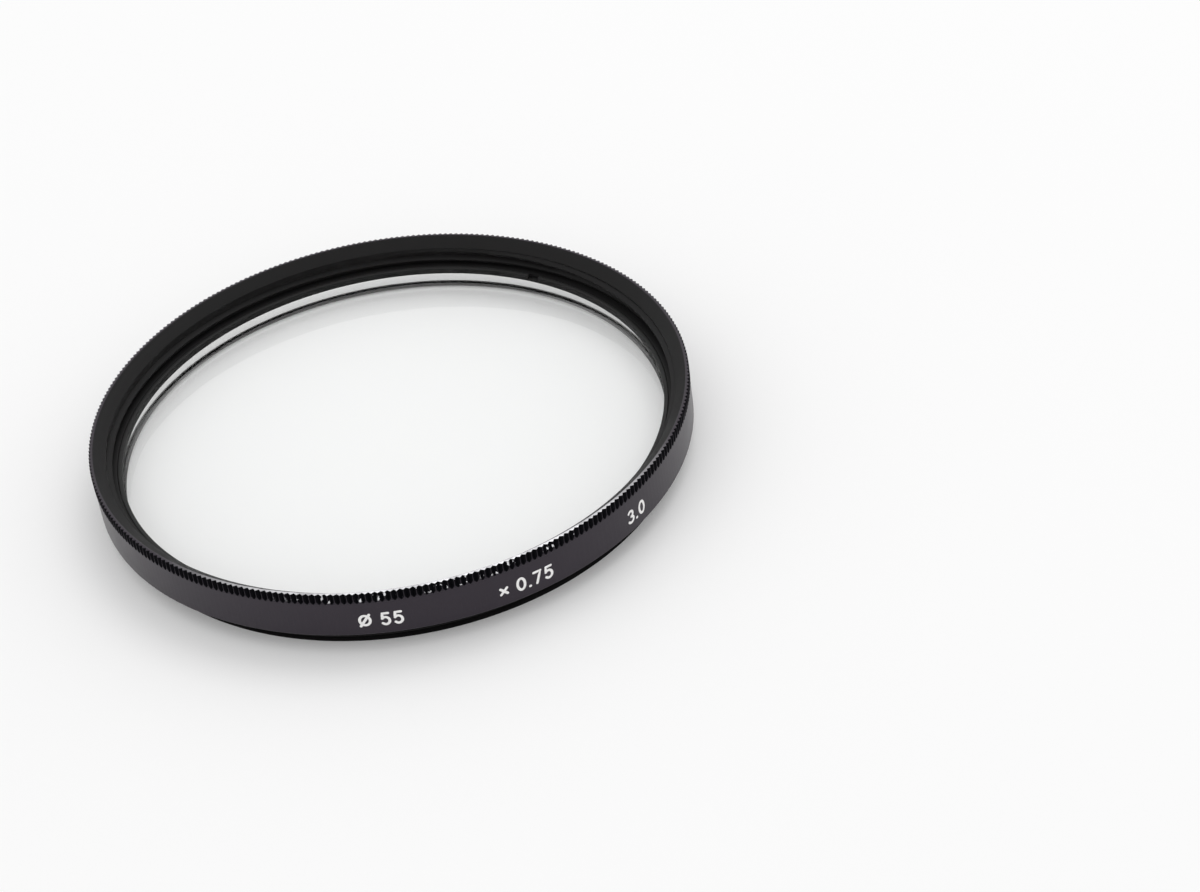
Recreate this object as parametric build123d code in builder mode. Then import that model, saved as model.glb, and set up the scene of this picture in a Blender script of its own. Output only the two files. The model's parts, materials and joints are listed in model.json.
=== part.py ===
"""Screw-in lens filter: a turned, knurled ring that holds a clear glass disc under a retaining ring.

Units are millimetres. The axis of the filter is Z. The end of the male lens thread lies on z = 0,
and the knurled front rim, with the female thread for the next accessory, faces +Z.
"""

import os
from math import pi

from build123d import *

# Screw threads of the ring, both of the same nominal size. The solids carry the crests of each thread.
thread_d = 55.0
thread_pitch = 0.75
thread_play = 0.05
thread_depth_ratio = 0.613
thread_height = thread_depth_ratio * thread_pitch
male_thread_length = 2.05
male_end_chamfer = 0.12
relief_width = 0.35
relief_depth = 0.25

# Outside of the ring: the band stands out from the thread by the width of the shoulder
shoulder_width = 1.46
shoulder_chamfer = 0.12
body_height = 4.7

# Front rim: a narrow flat land, then a bevel that runs down into the female thread
rim_land = 0.32
rim_bevel_drop = 1.3

# Straight knurl rolled round the front rim: its sharp crests stand a little proud of the band
knurl_count = 320
knurl_height = 0.75
knurl_rise = 0.04
knurl_depth = 0.24
knurl_runout = 0.15

# Step inside the ring, from the female thread down to the pocket for the glass and its retaining ring
pocket_step = 0.34

# Glass disc, and the ledge at the rear end that it lies on
glass_thickness = 3.0
glass_edge = 0.15
glass_play = 0.1
ledge_overlap = 0.35
ledge_thickness = 0.55
rear_mouth_chamfer = 0.45

# Retaining ring, screwed in on top of the glass
retainer_play = 0.05
retainer_thickness = 0.65
retainer_edge = 0.15
spanner_slot_width = 1.2
spanner_slot_depth = 0.4
spanner_slot_angle = 50.0

# Radii that follow from the sizes above
male_crest_r = thread_d / 2 - thread_play
relief_r = male_crest_r - relief_depth
female_crest_r = thread_d / 2 + thread_play - thread_height
body_r = thread_d / 2 + shoulder_width
knurl_crest_r = body_r + knurl_rise
knurl_floor_r = knurl_crest_r - knurl_depth
knurl_stock_r = knurl_crest_r + knurl_rise
pocket_r = female_crest_r - pocket_step
retainer_r = pocket_r - retainer_play
glass_r = pocket_r - glass_play
clear_r = glass_r - ledge_overlap

# Heights above the rear end that follow from the sizes above
shoulder_z = male_thread_length
rim_z = shoulder_z + body_height
knurl_z = rim_z - knurl_height
runout_z = knurl_z - knurl_runout
ledge_z = ledge_thickness
glass_top_z = ledge_z + glass_thickness
retainer_top_z = glass_top_z + retainer_thickness

os.makedirs("parts", exist_ok=True)

# One V groove of the knurl: a prism on the V, cut off below by the slope where the tool ran out.
# The slope passes under the proud rim halfway between the band and the crests.
knurl_pitch = 2 * pi * knurl_crest_r / knurl_count
groove_reach = 2 * knurl_depth
groove_outer_r = knurl_floor_r + groove_reach
groove_half_width = knurl_pitch / 2 * groove_reach / knurl_depth
runout_slope = knurl_runout / (body_r + knurl_rise / 2 - knurl_floor_r)

with BuildPart() as knurl_groove:
    with BuildSketch(Plane.XY.offset(shoulder_z)):
        with BuildLine():
            Polyline(
                (knurl_floor_r, 0),
                (groove_outer_r, -groove_half_width),
                (groove_outer_r, groove_half_width),
                close=True,
            )
        make_face()
    extrude(amount=body_height + knurl_height)
    with BuildSketch(Plane.XZ):
        with BuildLine():
            Polyline(
                (knurl_floor_r, knurl_z),
                (groove_outer_r, knurl_z - runout_slope * groove_reach),
                (groove_outer_r, rim_z + knurl_height),
                (knurl_floor_r, rim_z + knurl_height),
                close=True,
            )
        make_face()
    extrude(amount=knurl_pitch, both=True, mode=Mode.INTERSECT)

# The ring: one turned section, then the knurl rolled into its front edge
with BuildPart() as filter_ring:
    with BuildSketch(Plane.XZ):
        with BuildLine():
            Polyline(
                (clear_r + rear_mouth_chamfer, 0),
                (male_crest_r - male_end_chamfer, 0),
                (male_crest_r, male_end_chamfer),
                (male_crest_r, shoulder_z - relief_width),
                (relief_r, shoulder_z - relief_width),
                (relief_r, shoulder_z),
                (body_r - shoulder_chamfer, shoulder_z),
                (body_r, shoulder_z + shoulder_chamfer),
                (body_r, runout_z),
                (knurl_stock_r, runout_z),
                (knurl_stock_r, rim_z),
                (body_r - rim_land, rim_z),
                (female_crest_r, rim_z - rim_bevel_drop),
                (female_crest_r, retainer_top_z),
                (pocket_r, retainer_top_z),
                (pocket_r, ledge_z),
                (clear_r, ledge_z),
                (clear_r, rear_mouth_chamfer),
                close=True,
            )
        make_face()
    revolve(axis=Axis.Z)
    with PolarLocations(0, knurl_count):
        add(knurl_groove.part, mode=Mode.SUBTRACT)
filter_ring.part.label = "filter_ring"
export_step(filter_ring.part, "parts/filter_ring.step")

# The glass: a flat disc with a fine bevel ground on both edges
with BuildPart() as filter_glass:
    with BuildSketch(Plane.XY.offset(ledge_z)):
        Circle(glass_r)
    extrude(amount=glass_thickness)
    chamfer(filter_glass.edges().filter_by(GeomType.CIRCLE), glass_edge)
filter_glass.part.label = "filter_glass"
export_step(filter_glass.part, "parts/filter_glass.step")

# The retaining ring: its inner edge is bevelled, and two slots across its face take a spanner
with BuildPart() as retaining_ring:
    with BuildSketch(Plane.XY.offset(glass_top_z)):
        Circle(retainer_r)
        Circle(clear_r, mode=Mode.SUBTRACT)
    extrude(amount=retainer_thickness)
    front_edges = retaining_ring.edges().filter_by(GeomType.CIRCLE).group_by(Axis.Z)[-1]
    chamfer(front_edges.sort_by(SortBy.RADIUS)[0], retainer_edge)
    with BuildSketch(Plane.XY.offset(retainer_top_z)):
        with Locations(Rotation(0, 0, spanner_slot_angle)):
            Rectangle(2 * body_r, spanner_slot_width)
    extrude(amount=-spanner_slot_depth, mode=Mode.SUBTRACT)
retaining_ring.part.label = "retaining_ring"
export_step(retaining_ring.part, "parts/retaining_ring.step")
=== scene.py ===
# %% [markdown]
# # A screw-in lens filter
# The filter is a turned ring of black anodised aluminium. Its front rim is knurled for the fingers,
# a fine male thread behind screws into a lens, and a clear glass disc lies inside under a slotted
# retaining ring. The CAD solids already have every size. This lesson makes the finished surfaces
# around them: the rolled knurl, the real screw threads, broken edges, painted marks, glass, and a
# white table to look at it on.

# %% Load the frame
import json
from math import cos, pi, radians, sin

import bmesh
import bpy
from mathutils import Matrix, Vector


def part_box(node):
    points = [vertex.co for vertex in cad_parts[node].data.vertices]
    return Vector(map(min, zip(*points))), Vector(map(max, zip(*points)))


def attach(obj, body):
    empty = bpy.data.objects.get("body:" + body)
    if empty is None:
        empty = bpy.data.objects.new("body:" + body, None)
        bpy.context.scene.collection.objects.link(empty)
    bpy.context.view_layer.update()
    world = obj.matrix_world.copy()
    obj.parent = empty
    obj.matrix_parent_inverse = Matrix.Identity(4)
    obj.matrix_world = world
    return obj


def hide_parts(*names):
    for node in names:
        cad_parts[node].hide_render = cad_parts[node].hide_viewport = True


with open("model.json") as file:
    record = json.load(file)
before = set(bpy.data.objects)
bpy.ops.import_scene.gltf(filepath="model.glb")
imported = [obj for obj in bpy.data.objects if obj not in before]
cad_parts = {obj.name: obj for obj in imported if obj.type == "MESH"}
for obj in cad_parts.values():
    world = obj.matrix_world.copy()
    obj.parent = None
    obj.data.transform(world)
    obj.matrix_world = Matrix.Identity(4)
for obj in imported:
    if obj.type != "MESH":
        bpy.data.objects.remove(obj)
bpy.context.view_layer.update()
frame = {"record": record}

MM = 0.001
scene = bpy.context.scene

# %% [markdown]
# ## Sizes
# Blender works in metres, a machinist in millimetres, so the sizes below are written as millimetres
# times MM. What the frame knows is read from it: the box of each solid gives its radius and its
# heights, and the record's mounts give the crests of both threads. The rest are the small sizes of
# the turned section, which a box can't show. The knurl is a little taller here than on its solid
# and runs out longer, so that its grooves end in points.

# %% Sizes that the frame gives
ring_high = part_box("filter_ring")[1]
glass_low, glass_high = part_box("filter_glass")
retainer_low, retainer_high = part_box("retaining_ring")
mounts = {mount["name"]: mount for mount in frame["record"]["mounts"]}

knurl_crest_r = ring_high.x
rim_z = ring_high.z
glass_r = glass_high.x
retainer_r = retainer_high.x
male_crest_r = mounts["lens_thread"]["dims"]["r_mm"] * MM
female_crest_r = mounts["front_thread"]["dims"]["r_mm"] * MM
print("outside diameter mm", round(2 * knurl_crest_r / MM, 3), "height mm", round(rim_z / MM, 3))

# %% Small sizes of the turned section
thread_pitch = 0.75 * MM
thread_height_share = 0.613
thread_height = thread_height_share * thread_pitch
male_root_r = male_crest_r - thread_height
female_root_r = female_crest_r + thread_height
shoulder_z = 2.05 * MM
knurl_rise = 0.04 * MM
body_r = knurl_crest_r - knurl_rise
rim_land = 0.32 * MM
rim_bevel_drop = 1.3 * MM
rim_bevel_run = body_r - rim_land - female_crest_r
bevel_foot_z = rim_z - rim_bevel_drop * (1 - thread_height / rim_bevel_run)
glass_play = 0.1 * MM
pocket_r = glass_r + glass_play
ledge_overlap = 0.35 * MM
clear_r = glass_r - ledge_overlap
ledge_z = glass_low.z
rear_mouth_chamfer = 0.45 * MM
thread_radii = (male_root_r, male_crest_r, female_crest_r, female_root_r)
print("thread radii mm", [round(radius / MM, 2) for radius in thread_radii])

# %% Sizes of the knurl
knurl_teeth = 320
knurl_height = 0.80 * MM
knurl_depth = 0.24 * MM
knurl_runout = 0.30 * MM
knurl_crest = 0.04 * MM
knurl_z = rim_z - knurl_height
runout_z = knurl_z - knurl_runout
knurl_floor_r = knurl_crest_r - knurl_depth
print("knurl from mm", round(runout_z / MM, 2), "to", round(rim_z / MM, 2), "teeth", knurl_teeth)

# %% [markdown]
# ## Node trees written as Python
# Geometry Nodes and shaders are both trees of nodes, and laying them out by hand hides the rule
# that they follow. Here a Wire is a node's output that can be added, multiplied and compared, and
# each operation puts a Math node into the tree. Every other node comes from one method, Graph.add,
# which sets the node's own settings first and then its sockets, so a tree reads like a formula with
# its parts in order.

# %% Wires
class Wire:
    """A node's output that takes part in Python expressions. Each operation adds a Math node."""

    def __init__(self, graph, socket):
        self.graph = graph
        self.socket = socket

    def math(self, operation, *values):
        return self.graph.add("ShaderNodeMath", {"operation": operation}, dict(enumerate(values)))

    def __add__(self, other):
        return self.math("ADD", self, other)

    __radd__ = __add__

    def __sub__(self, other):
        return self.math("SUBTRACT", self, other)

    def __rsub__(self, other):
        return self.math("SUBTRACT", other, self)

    def __mul__(self, other):
        return self.math("MULTIPLY", self, other)

    def __truediv__(self, other):
        return self.math("DIVIDE", self, other)

    def __gt__(self, other):
        return self.math("GREATER_THAN", self, other)

    def least(self, other):
        return self.math("MINIMUM", self, other)

    def most(self, other):
        return self.math("MAXIMUM", self, other)

    def floor(self):
        return self.math("FLOOR", self)

    def root(self):
        return self.math("SQRT", self)

    def cos(self):
        return self.math("COSINE", self)

    def sin(self):
        return self.math("SINE", self)


print("a wire knows", [name for name in vars(Wire) if not name.startswith("_")])

# %% Graphs
class Graph:
    """A node tree that is being built."""

    def __init__(self, tree):
        self.tree = tree
        self.tree.nodes.clear()

    def add(self, kind, settings=None, sockets=None, take=0):
        """Adds a node, with its settings first and then its sockets, and gives back the outputs in take."""
        node = self.tree.nodes.new(kind)
        for name, value in (settings or {}).items():
            setattr(node, name, value)
        for name, value in (sockets or {}).items():
            self.plug(node.inputs[name], value)
        if isinstance(take, tuple):
            return tuple(Wire(self, node.outputs[name]) for name in take)
        return Wire(self, node.outputs[take]) if len(node.outputs) else None

    def plug(self, socket, value):
        """Links a wire, or several, to a socket, or sets the socket's own value."""
        if isinstance(value, Wire):
            self.tree.links.new(value.socket, socket)
        elif isinstance(value, list):
            for wire in value:
                self.tree.links.new(wire.socket, socket)
        else:
            socket.default_value = value


def split(graph, place, axes):
    """The named coordinates of a place."""
    return graph.add("ShaderNodeSeparateXYZ", {}, {0: place}, take=axes)


print("a graph can", [name for name in vars(Graph) if not name.startswith("_")])

# %% [markdown]
# ## Growing a piece from a tree
# Each tree starts from a small outline drawn in the XZ plane, where x is the distance from the axis
# and z the height, as on a turner's drawing. The helper below puts the tree on the outline as a
# modifier, sets its named sizes, and keeps the evaluated result as a plain mesh. Shading comes
# next: edges sharper than a given angle stay crisp, and weighted normals keep wide flat faces flat
# beside narrow rounded edges.

# %% How every tree starts and ends
def geometry_graph(name, sizes):
    """A geometry tree with a named input for each size. Gives back the graph and the input wires."""
    tree = bpy.data.node_groups.new(name, "GeometryNodeTree")
    interface = tree.interface
    interface.new_socket("Outline", in_out="INPUT", socket_type="NodeSocketGeometry")
    for size, kind in sizes.items():
        interface.new_socket(size, in_out="INPUT", socket_type="NodeSocket" + kind)
    interface.new_socket("Piece", in_out="OUTPUT", socket_type="NodeSocketGeometry")
    graph = Graph(tree)
    return graph, graph.add("NodeGroupInput", take=("Outline", *sizes))


def end_tree(graph, geometry, material):
    """Every tree ends alike: instances become real, the finish is set, and the piece goes out."""
    real = graph.add("GeometryNodeRealizeInstances", {}, {0: geometry})
    finished = graph.add("GeometryNodeSetMaterial", {}, {"Geometry": real, "Material": material})
    graph.add("NodeGroupOutput", {}, {"Piece": finished})


print("a tree takes an outline and sizes, and gives a piece")

# %% Outlines
def outline(name, lines):
    """A mesh of joined points. A line is a list of (x, z) points, and a closed one ends where it starts."""
    points = []
    edges = []
    for line in lines:
        closed = line[0] == line[-1]
        first = len(points)
        points += line[:-1] if closed else line
        count = len(points) - first
        edges += [(first + i, first + i + 1) for i in range(count - 1)]
        edges += [(first + count - 1, first)] if closed else []
    mesh = bpy.data.meshes.new(name)
    mesh.from_pydata([(x, 0.0, z) for x, z in points], edges, [])
    return mesh


print("outlines are drawn in the XZ plane, in metres")

# %% From an outline to a piece
def bake_modifiers(piece):
    """Puts what the modifiers make of a piece into its own mesh."""
    depsgraph = bpy.context.evaluated_depsgraph_get()
    mesh = bpy.data.meshes.new_from_object(piece.evaluated_get(depsgraph), depsgraph=depsgraph)
    piece.modifiers.clear()
    piece.data = mesh


def grow(name, tree, start, sizes):
    """Runs a tree on an outline mesh, with its sizes set by name, and gives back the plain piece."""
    piece = bpy.data.objects.new(name, start)
    scene.collection.objects.link(piece)
    modifier = piece.modifiers.new("tree", "NODES")
    modifier.node_group = tree
    for item in tree.interface.items_tree:
        if item.name in sizes:
            modifier[item.identifier] = sizes[item.name]
    bake_modifiers(piece)
    return piece


print("pieces go into", scene.collection.name)

# %% Shading
def face_outwards(piece):
    """Turns every face of a closed mesh outwards."""
    work = bmesh.new()
    work.from_mesh(piece.data)
    bmesh.ops.recalc_face_normals(work, faces=work.faces)
    work.to_mesh(piece.data)
    work.free()


def shade(piece, crisp_angle):
    """Smooth shading that stays crisp at sharp edges and flat on wide faces."""
    face_outwards(piece)
    piece.data.shade_smooth()
    piece.data.set_sharp_from_angle(angle=radians(crisp_angle))
    modifier = piece.modifiers.new("normals", "WEIGHTED_NORMAL")
    modifier.keep_sharp = True
    bake_modifiers(piece)
    print(piece.name, "faces", len(piece.data.polygons))


print("shading is smooth, and crisp at sharp edges")

# %% [markdown]
# ## Finishes
# Anodised aluminium is a thin, hard, dyed oxide on turned metal. It hardly shows its own colour.
# What the eye sees is the soft mirror of the room in it, so the base is nearly black and the look
# comes from roughness and from the fine rings that the turning tool left. The land of the rim is
# rubbed down to bare metal on one side, and a few teeth are chipped. Inside, and on the threads,
# the ring is a flat black that mirrors little, so that no stray light reaches the lens. In the
# grooves of the knurl a still darker black that mirrors less is painted as shade. Three shaders
# are mixed by the height and by the distance from the axis. All patterns read Object coordinates,
# scaled to millimetres, so that they stay at the right size.

# %% Materials and places on a piece
def material_graph(name):
    """A new material with an empty tree. Gives back the material and its graph."""
    material = bpy.data.materials.new(name)
    material.use_nodes = True
    return material, Graph(material.node_tree)


def principled(graph, sockets):
    """A Principled shader with its sockets set."""
    return graph.add("ShaderNodeBsdfPrincipled", {}, sockets)


def place_mm(graph):
    """The point on the piece, in millimetres."""
    place = graph.add("ShaderNodeTexCoord", take="Object")
    return graph.add("ShaderNodeVectorMath", {"operation": "SCALE"}, {0: place, "Scale": 1 / MM})


def reach_of(graph, place):
    """How far a place lies from the axis."""
    x, y = split(graph, place, ("X", "Y"))
    return (x * x + y * y).root()


print("patterns are measured in units of", MM, "m")

# %% Patterns and colours
cloud_detail = 3.0
fine_detail = 2.0


def noise(graph, place, scale, detail=fine_detail):
    """Cloudy noise from 0 to 1, with about scale lumps in a millimetre."""
    return graph.add("ShaderNodeTexNoise", {}, {"Vector": place, "Scale": scale, "Detail": detail})


def ramp(graph, value, edge, base=0.0):
    """A smooth step from 0 to 1, from the low end of an edge to its high end, measured from a base."""
    low, high = edge
    sockets = {"Value": value, "From Min": base + low, "From Max": base + high}
    return graph.add("ShaderNodeMapRange", {"interpolation_type": "SMOOTHSTEP"}, sockets)


def mix_colour(graph, factor, first, second):
    """A colour between two, where the factor is 0 and 1."""
    return graph.add("ShaderNodeMix", {"data_type": "RGBA"}, {0: factor, 6: first, 7: second}, take=2)


def bump(graph, height, depth):
    """A normal from a height of 0 to 1, as deep as given."""
    return graph.add("ShaderNodeBump", {}, {"Height": height, "Distance": depth})


def grey(level, warm=0.0):
    """A grey as a shader colour, a little warmer or cooler."""
    return (level * (1 + warm), level, level * (1 - warm), 1.0)


print("detail of clouds", cloud_detail, "and of grain", fine_detail)

# %% Colours and patterns of the ring
anodised_black = (0.0105, 0.0072, 0.0122, 1.0)
anodised_worn = (0.0150, 0.0112, 0.0170, 1.0)
anodised_sheen = (0.98, 0.90, 1.0, 1.0)
flat_black = (0.0050, 0.0048, 0.0050, 1.0)
flat_black_dusty = (0.0088, 0.0084, 0.0086, 1.0)
# Painted shade for the grooves of the knurl, darker than the dye itself.
groove_shade_black = (0.0020, 0.0020, 0.0032, 1.0)
bare_aluminium = (0.86, 0.86, 0.88, 1.0)
clouds_per_mm = 0.35
grain_per_mm = 26.0
turning_rings_per_mm = 9.0
print("in a mm: clouds", clouds_per_mm, "rings", turning_rings_per_mm, "grain", grain_per_mm)

# %% Where the knurl is
# Soft edges in millimetres, each measured from the size that it belongs to.
band_edge = (-0.02, 0.06)
under_land = (-0.06, -0.02)
behind_floor = (-0.09, -0.03)
groove_flank = (-0.01, 0.03)
tooth_flank = (0.08, 0.13)
chips_start = 0.15


def knurl_places(graph, height, reach):
    """How far a point lies on the teeth, and how far in the grooves between them, each from 0 to 1."""
    foot = runout_z / MM
    rise = knurl_rise / MM
    above_band = ramp(graph, height, band_edge, foot)
    below_land = 1.0 - ramp(graph, height, under_land, rim_z / MM)
    knurl = above_band * below_land * ramp(graph, reach, behind_floor, knurl_floor_r / MM)
    proud = ramp(graph, height, (0.0, rise), foot)
    depth = body_r / MM + proud * rise - reach
    above_runout = ramp(graph, height, (chips_start, knurl_runout / MM), foot)
    teeth = knurl * above_runout * (1.0 - ramp(graph, depth, tooth_flank))
    grooves = knurl * ramp(graph, depth, groove_flank)
    return teeth, grooves


print("groove flanks in mm below the crest", groove_flank, "tooth flanks", tooth_flank)

# %% Where the dye is worn off
worn_side = radians(-86.0)
# Cosines of the angle from the middle of the worn side, from untouched to fully worn.
rubbed_side = (0.52, 1.02)
chipped_side = (0.82, 0.96)
land_edge = (-0.035, -0.010)
patches_per_mm = 0.8
patch_edge = (0.25, 0.60)
least_rubbed = 0.55
chips_per_mm = 1.5
chip_edge = (0.620, 0.645)


def rim_wear(graph, place, height, reach, teeth):
    """How far the dye is off: on the land of the rim, where it is held most, and in chips on the teeth."""
    x, y = split(graph, place, ("X", "Y"))
    towards = (x * cos(worn_side) + y * sin(worn_side)) / reach
    on_land = ramp(graph, height, land_edge, rim_z / MM)
    patches = ramp(graph, noise(graph, place, patches_per_mm, cloud_detail), patch_edge)
    through = least_rubbed + patches * (1.0 - least_rubbed)
    rubbed = on_land * ramp(graph, towards, rubbed_side) * through
    chipped = ramp(graph, noise(graph, place, chips_per_mm), chip_edge)
    chips = teeth * ramp(graph, towards, chipped_side) * chipped
    return rubbed.most(chips)


print("worn side at", round(worn_side, 2), "radians")

# %% Black anodised ring
rings_in_relief = 0.7
relief_depth = 0.002 * MM
satin_roughness = 0.25
cloud_roughness = 0.08
ring_roughness = 0.06
flat_roughness = 0.50
dust_roughness = 0.12
# Roughness of the painted shade in the grooves.
groove_shade_roughness = 0.6
outer_edge = (-0.05, 0.01)


def satin_outside(graph, clouds, rings, grain, wear):
    """The band and the teeth: a soft mirror, with bare metal where the dye is off."""
    dyed = mix_colour(graph, clouds, anodised_black, anodised_worn)
    relief = rings * rings_in_relief + grain * (1.0 - rings_in_relief)
    return principled(graph, {
        "Base Color": mix_colour(graph, wear, dyed, bare_aluminium),
        "Metallic": wear,
        "Roughness": satin_roughness + clouds * cloud_roughness + rings * ring_roughness,
        "IOR": 1.44,
        "Specular Tint": anodised_sheen,
        "Normal": bump(graph, relief, relief_depth),
    })


def flat_inside(graph, clouds, grain):
    """The bevel, the bore and both threads: flat and a little dusty."""
    return principled(graph, {
        "Base Color": mix_colour(graph, clouds, flat_black, flat_black_dusty),
        "Roughness": flat_roughness + clouds * dust_roughness,
        "IOR": 1.27,
        "Normal": bump(graph, grain, relief_depth),
    })


def painted_groove_shade(graph):
    """Painted shade in the grooves of the knurl: a darker black that mirrors less than the satin."""
    return principled(graph, {"Base Color": groove_shade_black, "Roughness": groove_shade_roughness, "IOR": 1.13})


def black_anodised():
    """Satin outside, flat inside and painted shade in the grooves, mixed by the place on the ring."""
    material, graph = material_graph("black_anodised")
    place = place_mm(graph)
    height = split(graph, place, "Z")
    reach = reach_of(graph, place)
    clouds = noise(graph, place, clouds_per_mm, cloud_detail)
    grain = noise(graph, place, grain_per_mm)
    rings = graph.add(
        "ShaderNodeTexNoise",
        {"noise_dimensions": "1D"},
        {"W": height + reach, "Scale": turning_rings_per_mm, "Detail": fine_detail},
    )
    teeth, grooves = knurl_places(graph, height, reach)
    wear = rim_wear(graph, place, height, reach, teeth)
    satin = satin_outside(graph, clouds, rings, grain, wear)
    flat = flat_inside(graph, clouds, grain)
    groove_shade = painted_groove_shade(graph)
    outside = ramp(graph, reach, outer_edge, (body_r - rim_land) / MM)
    smooth = graph.add("ShaderNodeMixShader", {}, {0: outside, 1: flat, 2: satin})
    # Painted shade goes into the grooves of the knurl, except where the dye is worn off.
    surface = graph.add("ShaderNodeMixShader", {}, {0: grooves * (1.0 - wear), 1: smooth, 2: groove_shade})
    graph.add("ShaderNodeOutputMaterial", {}, {"Surface": surface})
    return material


ring_finish = black_anodised()
print("finish", ring_finish.name)

# %% Matt black retaining ring
matt_black = grey(0.006)
matt_black_dusty = grey(0.011)
matt_clouds_per_mm = 0.5
matt_grain_per_mm = 18.0
matt_relief = 0.004 * MM
matt_roughness = 0.48


def black_matt():
    """A flat black with a little dust."""
    material, graph = material_graph("black_matt")
    place = place_mm(graph)
    clouds = noise(graph, place, matt_clouds_per_mm, cloud_detail)
    grain = noise(graph, place, matt_grain_per_mm)
    surface = principled(graph, {
        "Base Color": mix_colour(graph, clouds, matt_black, matt_black_dusty),
        "Roughness": matt_roughness + clouds * dust_roughness,
        "IOR": 1.36,
        "Normal": bump(graph, grain, matt_relief),
    })
    graph.add("ShaderNodeOutputMaterial", {}, {"Surface": surface})
    return material


retainer_finish = black_matt()
print("finish", retainer_finish.name)

# %% White paint in the marks
paint_thin = grey(0.86, 0.01)
paint_thick = grey(0.94, 0.01)
paint_patches_per_mm = 3.0
paint_edge = (0.35, 0.65)
paint_relief = 0.004 * MM
paint_roughness = 0.45
paint_patch_roughness = 0.2


def white_fill():
    """White paint that lies a little unevenly."""
    material, graph = material_graph("white_fill")
    patches = noise(graph, place_mm(graph), paint_patches_per_mm, cloud_detail)
    surface = principled(graph, {
        "Base Color": mix_colour(graph, ramp(graph, patches, paint_edge), paint_thin, paint_thick),
        "Roughness": paint_roughness + patches * paint_patch_roughness,
        "Normal": bump(graph, patches, paint_relief),
    })
    graph.add("ShaderNodeOutputMaterial", {}, {"Surface": surface})
    return material


mark_finish = white_fill()
print("finish", mark_finish.name)

# %% [markdown]
# ## Clear glass
# The glass bends light as real glass does. Lamps can't find their way through bent glass in a path
# tracer without a great deal of noise, so rays from the floor and from lamps pass it as if it were
# a clear film. The edge of the disc is smoothed and mirrors the white table from within, with the
# faint green of thick glass.

# %% Glass and film
glass_clear = (0.998, 1.0, 0.999, 1.0)
glass_green = (0.88, 0.96, 0.92, 1.0)
film_clear = (0.995, 0.998, 0.996, 1.0)
ground_edge = (-0.17, -0.13)
ground_roughness = 0.12


def clear_glass():
    """Glass to the eye and in mirrors, and a clear film to light."""
    material, graph = material_graph("clear_glass")
    reach = reach_of(graph, place_mm(graph))
    ground = ramp(graph, reach, ground_edge, glass_r / MM)
    surface = principled(graph, {
        "Base Color": mix_colour(graph, ground, glass_clear, glass_green),
        "Roughness": ground * ground_roughness,
        "IOR": 1.52,
        "Transmission Weight": 1.0,
    })
    film = graph.add("ShaderNodeBsdfTransparent", {}, {"Color": film_clear})
    shadow, diffuse = graph.add("ShaderNodeLightPath", take=("Is Shadow Ray", "Is Diffuse Ray"))
    mixed = graph.add("ShaderNodeMixShader", {}, {0: shadow.most(diffuse), 1: surface, 2: film})
    graph.add("ShaderNodeOutputMaterial", {}, {"Surface": mixed})
    return material


glass_finish = clear_glass()
print("finish", glass_finish.name)

# %% [markdown]
# ## The knurled ring
# On a lathe the ring is one section turned about the axis, and the knurl is then rolled into the
# rim by a toothed wheel. The tree does the same. It sweeps the section round a circle and keeps
# three columns of points for each of the 320 teeth: one in the groove and two on the crest. Then
# one rule makes the knurl: in a groove column no point may lie further out than the groove's floor,
# and below the knurl that limit slopes outwards until it is gone, as the wheel leaves it. The
# crests narrow towards the rim, and below the knurl they widen until the groove ends in a point. A
# boolean cut for each groove would give the same shape, at far more cost.

# %% Sweeping a section
full_turn = 2 * pi


def keep(graph, geometry, name, value):
    """Stores a number on every point, under a name."""
    sockets = {"Geometry": geometry, "Name": name, "Value": value}
    return graph.add("GeometryNodeStoreNamedAttribute", {"data_type": "FLOAT", "domain": "POINT"}, sockets)


def kept(graph, name):
    """Reads a number that was stored under a name."""
    return graph.add("GeometryNodeInputNamedAttribute", {"data_type": "FLOAT"}, {"Name": name})


def swept_section(graph, section, path):
    """Sweeps a section along a path. Every point of the result knows its place on both."""
    curve = graph.add("GeometryNodeMeshToCurve", {}, {"Mesh": section})
    x, z = split(graph, graph.add("GeometryNodeInputPosition"), ("X", "Z"))
    curve = keep(graph, keep(graph, curve, "section_x", x), "section_z", z)
    path = keep(graph, path, "column", graph.add("GeometryNodeInputIndex"))
    sockets = {"Curve": path, "Profile Curve": curve, "Fill Caps": True}
    mesh = graph.add("GeometryNodeCurveToMesh", {}, sockets)
    return mesh, kept(graph, "section_x"), kept(graph, "section_z"), kept(graph, "column")


def set_round_axis(graph, mesh, reach, turn, height):
    """Puts each point at its distance from the axis, its turn about it and its height."""
    sockets = {"X": reach * turn.cos(), "Y": reach * turn.sin(), "Z": height}
    place = graph.add("ShaderNodeCombineXYZ", {}, sockets)
    return graph.add("GeometryNodeSetPosition", {}, {"Geometry": mesh, "Position": place})


print("a full turn is", round(full_turn, 4), "radians")

# %% Tree for a turned piece
merge_distance = 0.0001 * MM


def turned_tree():
    """A section turned about the axis."""
    graph, wires = geometry_graph("turned", {"Columns": "Int", "Finish": "Material"})
    section, columns, material = wires
    circle = graph.add("GeometryNodeCurvePrimitiveCircle", {}, {"Resolution": columns})
    mesh, reach, height, column = swept_section(graph, section, circle)
    placed = set_round_axis(graph, mesh, reach, column * full_turn / columns, height)
    sockets = {"Geometry": placed, "Distance": merge_distance}
    merged = graph.add("GeometryNodeMergeByDistance", {}, sockets)
    end_tree(graph, merged, material)
    return graph.tree


turned = turned_tree()
print("tree", turned.name, "nodes", len(turned.nodes))

# %% Tree for the knurled ring
columns_per_tooth = 3
rounding_room = 0.01
crest_middle = 1.5
# How much of a crest's flat is left at the rim, and how much of a tooth is crest where a groove ends.
sharpest = 0.2
widest = 0.92


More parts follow.
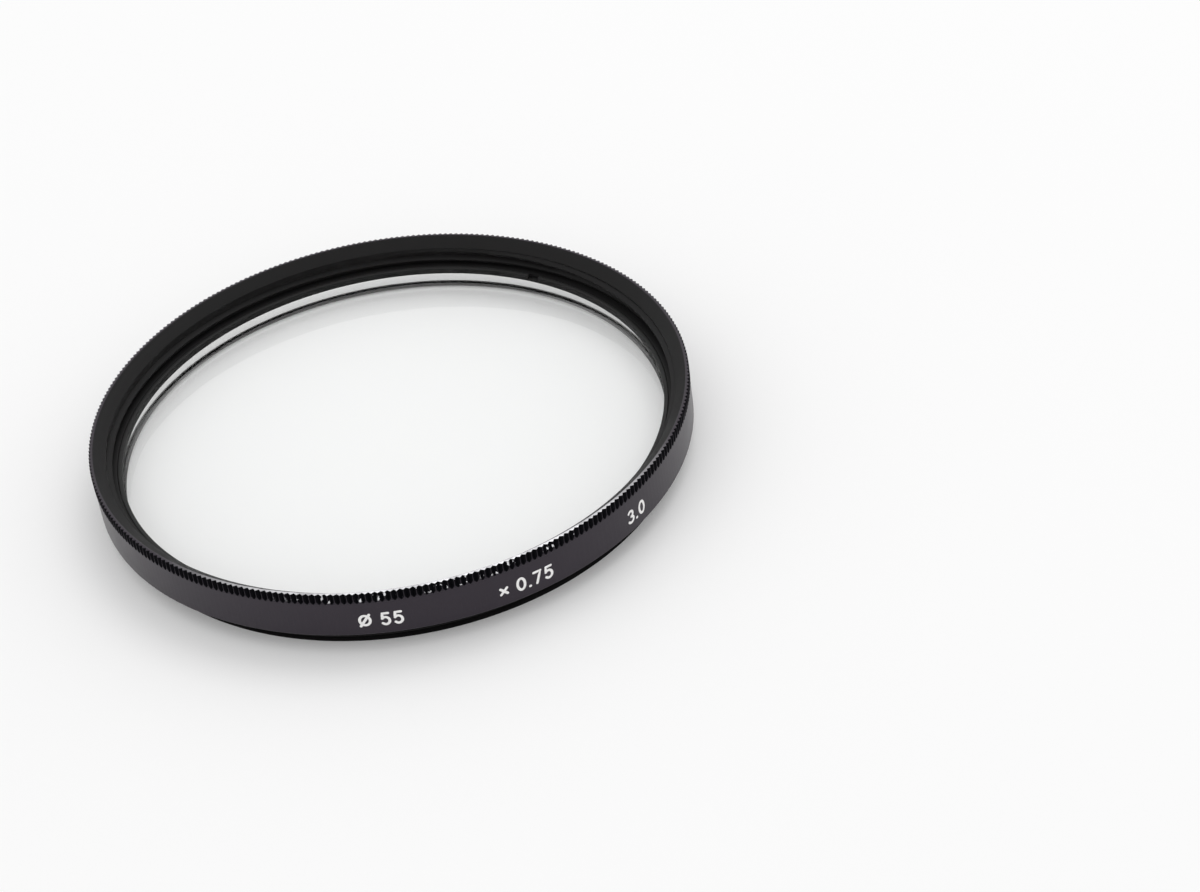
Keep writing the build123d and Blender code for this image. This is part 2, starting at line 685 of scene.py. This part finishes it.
def knurled_tree():
    """A section turned about the axis, with a straight knurl rolled into its outer rim."""
    sizes = {
        "Teeth": "Int",
        "Crest share": "Float",
        "Floor radius": "Float",
        "Knurl height": "Float",
        "Top height": "Float",
        "Run-out length": "Float",
        "Run-out slope": "Float",
        "Finish": "Material",
    }
    graph, wires = geometry_graph("knurled", sizes)
    section, teeth, crest_share, floor_r, knurl_z, top_z, runout, slope, material = wires
    columns = teeth * columns_per_tooth
    circle = graph.add("GeometryNodeCurvePrimitiveCircle", {}, {"Resolution": columns})
    mesh, reach, height, column = swept_section(graph, section, circle)
    tooth = (column / columns_per_tooth + rounding_room).floor()
    step = column - tooth * columns_per_tooth
    on_crest = step > 0.5
    narrow = crest_share * ((top_z - height) / (top_z - knurl_z)).most(sharpest).least(1.0)
    run = ((knurl_z - height) / runout).most(0.0).least(1.0)
    share = narrow + run * (widest - narrow)
    turn = (tooth + on_crest * (0.5 + (step - crest_middle) * share)) * full_turn / teeth
    # On a crest the limit lies a whole metre further out, so it leaves the point where it is.
    limit = floor_r + (knurl_z - height).most(0.0) * slope + on_crest
    placed = set_round_axis(graph, mesh, reach.least(limit), turn, height)
    end_tree(graph, placed, material)
    return graph.tree


knurled = knurled_tree()
print("tree", knurled.name, "nodes", len(knurled.nodes))

# %% Broken edges
edge_shares = (0.0, 1 / 3, 2 / 3, 1.0)
fine_edge = 0.03 * MM
broken_edge = 0.06 * MM
chamfer_edge = 0.12 * MM


def rounded(corners):
    """The closed outline through (x, z, edge) corners. Each broken edge becomes a short smooth curve."""
    points = []
    for i, (x, z, edge) in enumerate(corners):
        corner = Vector((x, z))
        if not edge:
            points.append((x, z))
            continue
        before = Vector(corners[i - 1][:2])
        after = Vector(corners[(i + 1) % len(corners)][:2])
        start = corner + (before - corner).normalized() * edge
        end = corner + (after - corner).normalized() * edge
        points += [tuple(start.lerp(corner, t).lerp(corner.lerp(end, t), t)) for t in edge_shares]
    return points + points[:1]


print("points on a broken edge", len(edge_shares))

# %% Knurled ring
ring_section = rounded([
    (clear_r + rear_mouth_chamfer, 0, fine_edge),
    (male_root_r, 0, 0),
    (male_root_r, shoulder_z, 0),
    (body_r, shoulder_z, chamfer_edge),
    (body_r, runout_z, 0),
    (knurl_crest_r, runout_z + knurl_rise, 0),
    (knurl_crest_r, knurl_z, 0),
    (knurl_crest_r, rim_z, broken_edge),
    (body_r - rim_land, rim_z, broken_edge),
    (female_root_r, bevel_foot_z, 0),
    (female_root_r, retainer_high.z, 0),
    (pocket_r, retainer_high.z, fine_edge),
    (pocket_r, ledge_z, 0),
    (clear_r, ledge_z, fine_edge),
    (clear_r, rear_mouth_chamfer, fine_edge),
])
ring = grow("knurled_ring", knurled, outline("ring_section", [ring_section]), {
    "Teeth": knurl_teeth,
    "Crest share": knurl_crest * knurl_teeth / (full_turn * knurl_crest_r),
    "Floor radius": knurl_floor_r,
    "Knurl height": knurl_z,
    "Top height": rim_z,
    "Run-out length": knurl_runout,
    "Run-out slope": (body_r + knurl_rise / 2 - knurl_floor_r) / knurl_runout,
    "Finish": ring_finish,
})
print(ring.name, "points in section", len(ring_section) - 1, "faces", len(ring.data.polygons))

# %% [markdown]
# ## Screw threads
# Both threads are right-handed, with a pitch of 0.75 mm. The turned section only has the wall at
# the root of each thread, and a ridge is wound round it: a trapezoid swept along a helix, sunk a
# little into the wall so that no gap shows, and fading out at both ends. A Screw modifier could
# wind the ridge too, but it can't fade it.

# %% Tree for a screw thread
def thread_tree():
    """A ridge wound round a wall. Its height goes outwards, or inwards where the direction is -1."""
    sizes = {
        "Wall radius": "Float",
        "Direction": "Float",
        "Pitch": "Float",
        "Start height": "Float",
        "Steps": "Int",
        "Steps in a turn": "Int",
        "Steps to fade": "Int",
        "Sunk": "Float",
        "Finish": "Material",
    }
    graph, wires = geometry_graph("screw_thread", sizes)
    ridge, wall_r, direction, pitch, start_z, steps, turn_steps, fade, sunk, material = wires
    line = graph.add("GeometryNodeCurvePrimitiveLine", {}, {"End": (1.0, 0.0, 0.0)})
    path = graph.add("GeometryNodeResampleCurve", {}, {"Curve": line, "Count": steps})
    mesh, rise, along, column = swept_section(graph, ridge, path)
    turns = column / turn_steps
    from_end = column.least(steps - 1 - column)
    share = (from_end / fade).least(1.0)
    lift = (rise + sunk) * share - sunk
    height = start_z + turns * pitch + along
    placed = set_round_axis(graph, mesh, wall_r + lift * direction, turns * full_turn, height)
    end_tree(graph, placed, material)
    return graph.tree


screw_thread = thread_tree()
print("tree", screw_thread.name, "nodes", len(screw_thread.nodes))

# %% A ridge on a wall
thread_sunk = 0.02 * MM
turn_steps = 192
fade_steps = turn_steps // 6
ridge_foot = 0.44 * thread_pitch
ridge_top = 0.07 * thread_pitch
ridge_profile = [
    (-thread_sunk, -ridge_foot),
    (0.0, -ridge_foot),
    (thread_height, -ridge_top),
    (thread_height, ridge_top),
    (0.0, ridge_foot),
    (-thread_sunk, ridge_foot),
    (-thread_sunk, -ridge_foot),
]


def thread(name, wall_r, direction, low_z, high_z):
    """A thread between two heights on a wall of the ring."""
    turns = (high_z - low_z - 2 * ridge_foot) / thread_pitch
    return grow(name, screw_thread, outline(name + "_ridge", [ridge_profile]), {
        "Wall radius": wall_r,
        "Direction": direction,
        "Pitch": thread_pitch,
        "Start height": low_z + ridge_foot,
        "Steps": round(turns * turn_steps) + 1,
        "Steps in a turn": turn_steps,
        "Steps to fade": fade_steps,
        "Sunk": thread_sunk,
        "Finish": ring_finish,
    })


print("ridge mm, foot and top", round(2 * ridge_foot / MM, 3), round(2 * ridge_top / MM, 3))

# %% Male thread, faced and chamfered at its end
turned_columns = 320
thread_overrun = 0.9 * MM
thread_relief = 0.3 * MM
blank_spare = 0.1 * MM
end_chamfer = 0.12 * MM


def trim_to_blank(piece, section):
    """Keeps only what lies inside a turned blank, as when the end of a thread is faced and chamfered."""
    blank = grow("thread_blank", turned, outline("blank_section", [section]), {
        "Columns": turned_columns,
        "Finish": ring_finish,
    })
    face_outwards(blank)
    face_outwards(piece)
    trim = piece.modifiers.new("trim", "BOOLEAN")
    trim.operation = "INTERSECT"
    trim.solver = "EXACT"
    trim.object = blank
    bake_modifiers(piece)
    bpy.data.objects.remove(blank)


male_thread = thread("male_thread", male_root_r, 1.0, -thread_overrun, shoulder_z - thread_relief)
trim_to_blank(male_thread, [
    (male_root_r - blank_spare, 0.0),
    (male_crest_r - end_chamfer, 0.0),
    (male_crest_r + blank_spare, end_chamfer + blank_spare),
    (male_crest_r + blank_spare, shoulder_z),
    (male_root_r - blank_spare, shoulder_z),
    (male_root_r - blank_spare, 0.0),
])
print(male_thread.name, "faces", len(male_thread.data.polygons))

# %% Female thread
thread_margin = 0.02 * MM
lowest_z = retainer_high.z + thread_margin
highest_z = bevel_foot_z - thread_margin
female_thread = thread("female_thread", female_root_r, -1.0, lowest_z, highest_z)
print(female_thread.name, "faces", len(female_thread.data.polygons))

# %% One ring with its threads
ring_pieces = [ring, male_thread, female_thread]
with bpy.context.temp_override(active_object=ring, selected_editable_objects=ring_pieces):
    bpy.ops.object.join()
shade(ring, crisp_angle=38)

# %% [markdown]
# ## The glass
# A flat disc, ground to a fine bevel on both edges. It is turned from half a section, which starts
# and ends on the axis, and the points that meet there are merged. It is drawn a hair thinner than
# its solid, because two faces in exactly the same place flicker when light passes through them.

# %% Glass disc
glass_columns = 256
glass_edge = 0.15 * MM
hair = 0.004 * MM
glass_section = [
    (0.0, glass_low.z + hair),
    (glass_r / 2, glass_low.z + hair),
    (glass_r - glass_edge, glass_low.z + hair),
    (glass_r, glass_low.z + glass_edge),
    (glass_r, glass_high.z - glass_edge),
    (glass_r - glass_edge, glass_high.z - hair),
    (glass_r / 2, glass_high.z - hair),
    (0.0, glass_high.z - hair),
]
glass = grow("glass_disc", turned, outline("glass_section", [glass_section]), {
    "Columns": glass_columns,
    "Finish": glass_finish,
})
shade(glass, crisp_angle=30)

# %% [markdown]
# ## The retaining ring
# A thin ring, screwed down on the glass, with two slots across its face for a pin spanner. It is
# turned like the glass, and a bar laid across it is cut away.

# %% Tree for the slots
def slotted_tree():
    """Cuts a straight bar, laid across the axis at a height, out of a turned piece."""
    sizes = {"Bar": "Vector", "Bar place": "Vector", "Bar turn": "Float", "Finish": "Material"}
    graph, (piece, bar, place, turn, material) = geometry_graph("slotted", sizes)
    cube = graph.add("GeometryNodeMeshCube", {}, {"Size": bar})
    turned_bar = graph.add("ShaderNodeCombineXYZ", {}, {"Z": turn})
    sockets = {"Geometry": cube, "Translation": place, "Rotation": turned_bar}
    laid = graph.add("GeometryNodeTransform", {}, sockets)
    meshes = {"Mesh 1": piece, "Mesh 2": laid}
    cut = graph.add("GeometryNodeMeshBoolean", {"operation": "DIFFERENCE"}, meshes)
    end_tree(graph, cut, material)
    return graph.tree


slotted = slotted_tree()
print("tree", slotted.name, "nodes", len(slotted.nodes))

# %% Retaining ring
slot_width = 1.2 * MM
slot_depth = 0.4 * MM
slot_turn = radians(50.0)
bar_length = 2.2 * retainer_r
retainer_bevel = 0.15 * MM
retainer_section = rounded([
    (clear_r, retainer_low.z + hair, 0),
    (retainer_r, retainer_low.z + hair, fine_edge),
    (retainer_r, retainer_high.z, fine_edge),
    (clear_r, retainer_high.z, retainer_bevel),
])
blank = grow("retainer_blank", turned, outline("retainer_section", [retainer_section]), {
    "Columns": turned_columns,
    "Finish": retainer_finish,
})
face_outwards(blank)
retainer = grow("slotted_retainer", slotted, blank.data, {
    "Bar": (bar_length, slot_width, 2 * slot_depth),
    "Bar place": (0.0, 0.0, retainer_high.z),
    "Bar turn": slot_turn,
    "Finish": retainer_finish,
})
bpy.data.objects.remove(blank)
shade(retainer, crisp_angle=35)

# %% [markdown]
# ## Painted marks
# The marks on the band are cut by an engraving machine with a round-nosed tool and filled with
# white paint, so every line has the same width and round ends. Each sign is a few strokes on a grid
# one letter high. The tree lays a thin round bead along every stroke, presses it nearly flat and
# wraps it round the band. They are plain sizes: the diameter of the thread, its pitch and the
# thickness of the glass, in millimetres.

# %% Strokes of the signs
arc_steps = 12
ring_steps = 20


def arc(x, z, reach_x, reach_z, start, end, steps=arc_steps):
    """Points along an arc of an ellipse, from one angle to another in degrees."""
    angles = [radians(start + (end - start) * i / steps) for i in range(steps + 1)]
    return [(x + reach_x * cos(angle), z + reach_z * sin(angle)) for angle in angles]


def closed_arc(x, z, reach_x, reach_z):
    """A whole ellipse, as a closed line."""
    points = arc(x, z, reach_x, reach_z, 0, 360, ring_steps)
    return points[:-1] + points[:1]


signs = {
    "0": (0.58, [closed_arc(0.29, 0.5, 0.29, 0.5)]),
    "3": (0.56, [arc(0.27, 0.75, 0.25, 0.25, 150, -80) + arc(0.27, 0.26, 0.29, 0.26, 80, -150)]),
    "5": (0.56, [[(0.52, 1.0), (0.11, 1.0), (0.05, 0.54)] + arc(0.27, 0.33, 0.29, 0.33, 128, -140)]),
    "7": (0.54, [[(0.0, 1.0), (0.54, 1.0), (0.18, 0.0)]]),
    ".": (0.04, [[(0.0, 0.0), (0.04, 0.0)]]),
    "x": (0.50, [[(0.0, 0.2), (0.5, 0.7)], [(0.0, 0.7), (0.5, 0.2)]]),
    "o": (0.76, [closed_arc(0.38, 0.5, 0.38, 0.43), [(0.02, 0.0), (0.74, 1.0)]]),
    " ": (0.10, []),
}
print("signs", list(signs))

# %% Texts
sign_gap = 0.36


def strokes_of(text, size):
    """The strokes of a text with its middle at x = 0, and its height from 0 to size."""
    strokes = []
    x = 0.0
    for sign in text:
        width, lines = signs[sign]
        strokes += [[(size * (x + px), size * pz) for px, pz in line] for line in lines]
        x += width + sign_gap
    middle = size * (x - sign_gap) / 2
    return [[(px - middle, pz) for px, pz in line] for line in strokes]


print("gap between signs, as a share of their height", sign_gap)

# %% Tree for the marks
stroke_cuts = 2
bead_sides = 12
ball_rings = 8


def marks_tree():
    """A flattened bead along every stroke, wrapped round the band."""
    sizes = {"Band radius": "Float", "Bead radius": "Float", "Pressed": "Float", "Finish": "Material"}
    graph, (strokes, band_r, bead_r, pressed, material) = geometry_graph("painted_marks", sizes)
    curves = graph.add("GeometryNodeMeshToCurve", {}, {"Mesh": strokes})
    fine = graph.add("GeometryNodeSubdivideCurve", {}, {"Curve": curves, "Cuts": stroke_cuts})
    rod = graph.add("GeometryNodeCurvePrimitiveCircle", {}, {"Resolution": bead_sides, "Radius": bead_r})
    sockets = {"Curve": fine, "Profile Curve": rod, "Fill Caps": True}
    beads = graph.add("GeometryNodeCurveToMesh", {}, sockets)
    sockets = {"Segments": bead_sides, "Rings": ball_rings, "Radius": bead_r}
    ball = graph.add("GeometryNodeMeshUVSphere", {}, sockets)
    ends = graph.add("GeometryNodeInstanceOnPoints", {}, {"Points": curves, "Instance": ball})
    balls = graph.add("GeometryNodeRealizeInstances", {}, {0: ends})
    joined = graph.add("GeometryNodeJoinGeometry", {}, {0: [beads, balls]})
    x, y, z = split(graph, graph.add("GeometryNodeInputPosition"), ("X", "Y", "Z"))
    wrapped = set_round_axis(graph, joined, band_r - y * pressed, x / band_r, z)
    end_tree(graph, wrapped, material)
    return graph.tree


painted_marks = marks_tree()
print("tree", painted_marks.name, "nodes", len(painted_marks.nodes))

# %% Marks on the band
mark_size = 1.25 * MM
mark_stroke = 0.26 * MM
mark_stand = 0.012 * MM
mark_base_z = 3.07 * MM
marks_at = {"o 55": -98.8, "x 0.75": -72.0, "3.0": -45.8}
strokes = []
for text, azimuth in marks_at.items():
    offset = radians(azimuth) * body_r
    strokes += [[(x + offset, z + mark_base_z) for x, z in line] for line in strokes_of(text, mark_size)]
marks = grow("size_marks", painted_marks, outline("mark_strokes", strokes), {
    "Band radius": body_r,
    "Bead radius": mark_stroke / 2,
    "Pressed": mark_stand / (mark_stroke / 2),
    "Finish": mark_finish,
})
shade(marks, crisp_angle=60)

# %% [markdown]
# ## Riding on the frame
# Nothing on a filter moves, so every piece rides on the one body. The three turned pieces stand for
# their CAD solids, and the marks are an extra with a finish of their own.

# %% Bodies, nodes and slots
for piece, node, slot in [
    (ring, "filter_ring", "black_anodised"),
    (glass, "filter_glass", "clear_glass"),
    (retainer, "retaining_ring", "black_matt"),
    (marks, None, "white_fill"),
]:
    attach(piece, "root")
    if node:
        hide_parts(node)
    print(piece.name, "stands for", node, "in", slot)

# %% [markdown]
# ## A white table and soft light
# The filter lies on a white table in a white room. One large soft lamp hangs high behind it on the
# right and adds a little light from that side, as a window would. The table has a pale colour of
# its own and shows a little glow to the camera and in mirrors, which makes it white without more
# light on the filter. The glow is the same all over, so the shadow under the ring stays.

# %% Table
def seen_rays(graph):
    """1 for rays from the camera, from mirrors and through glass, and 0 for rays that carry light."""
    kinds = ("Is Camera Ray", "Is Glossy Ray", "Is Transmission Ray")
    camera_ray, glossy_ray, clear_ray = graph.add("ShaderNodeLightPath", take=kinds)
    return camera_ray.most(glossy_ray).most(clear_ray)


table_size = 3.0
table_z = -0.01 * MM
table_colour = (0.84, 0.84, 0.84, 1.0)
table_glow = 0.12
half = table_size / 2
corners = [(-half, -half), (half, -half), (half, half), (-half, half)]
table_mesh = bpy.data.meshes.new("table")
table_mesh.from_pydata([(x, y, table_z) for x, y in corners], [], [(0, 1, 2, 3)])
table = bpy.data.objects.new("table", table_mesh)
scene.collection.objects.link(table)
table_finish, table_graph = material_graph("white_table")
table_paint = table_graph.add("ShaderNodeBsdfDiffuse", {}, {"Color": table_colour})
glow = table_graph.add("ShaderNodeEmission", {}, {"Strength": seen_rays(table_graph) * table_glow})
table_surface = table_graph.add("ShaderNodeAddShader", {}, {0: table_paint, 1: glow})
table_graph.add("ShaderNodeOutputMaterial", {}, {"Surface": table_surface})
table_mesh.materials.append(table_finish)
print("table at", table_z)

# %% World
room_light = 0.90
room_white = (1.0, 1.0, 1.0, 1.0)
world = bpy.data.worlds.new("white_room")
world.use_nodes = True
scene.world = world
room = Graph(world.node_tree)
strength = room_light + seen_rays(room) * (1.0 - room_light)
background = room.add("ShaderNodeBackground", {}, {"Color": room_white, "Strength": strength})
room.add("ShaderNodeOutputWorld", {}, {"Surface": background})
print("room light", room_light)

# %% Lamp
lamp_width = 0.56
lamp_depth = 0.42
lamp_watts = 1.0
lamp_place = (0.28, 0.30, 0.75)
lamp_data = bpy.data.lights.new("soft_lamp", "AREA")
lamp_data.shape = "RECTANGLE"
lamp_data.size = lamp_width
lamp_data.size_y = lamp_depth
lamp_data.energy = lamp_watts
lamp = bpy.data.objects.new("soft_lamp", lamp_data)
lamp.location = lamp_place
lamp.rotation_euler = (-lamp.location).to_track_quat("-Z", "Y").to_euler()
scene.collection.objects.link(lamp)
print("lamp watts", lamp_data.energy)

# %% [markdown]
# ## Camera
# The photograph looks down on the filter from 35 degrees, through a long lens, with the camera
# rolled a little. The filter stands left of the middle. The camera first looks straight at the
# middle of the front rim, then rolls, then swings until that point lands on its pixel, so no lens
# shift is needed.

# %% Camera at the photograph's viewpoint
image_width = 1200
image_height = 892
focal_px = 3000.0
sensor_width = 36.0
rim_middle_px = (388.0, 400.16)
camera_distance = 288.09 * MM
camera_elevation = radians(35.0)
camera_roll = radians(-11.308)
nearest_seen = 0.01
farthest_seen = 20.0

camera_data = bpy.data.cameras.new("camera")
camera_data.sensor_width = sensor_width
camera_data.lens = focal_px / image_width * sensor_width
camera_data.clip_start = nearest_seen
camera_data.clip_end = farthest_seen
camera = bpy.data.objects.new("camera", camera_data)
sight = Vector((
    (rim_middle_px[0] - image_width / 2) / focal_px,
    (image_height / 2 - rim_middle_px[1]) / focal_px,
    -1.0,
))
swing = sight.rotation_difference(Vector((0.0, 0.0, -1.0))).to_matrix()
look = Matrix.Rotation(pi / 2 - camera_elevation, 3, "X")
back = Vector((0.0, -cos(camera_elevation), sin(camera_elevation)))
turn = look @ Matrix.Rotation(camera_roll, 3, "Z") @ swing
camera.matrix_world = Matrix.Translation(Vector((0, 0, rim_z)) + back * camera_distance) @ turn.to_4x4()
scene.collection.objects.link(camera)
scene.camera = camera
scene.view_settings.view_transform = "Standard"
print("camera at mm", [round(value / MM, 1) for value in camera.location])
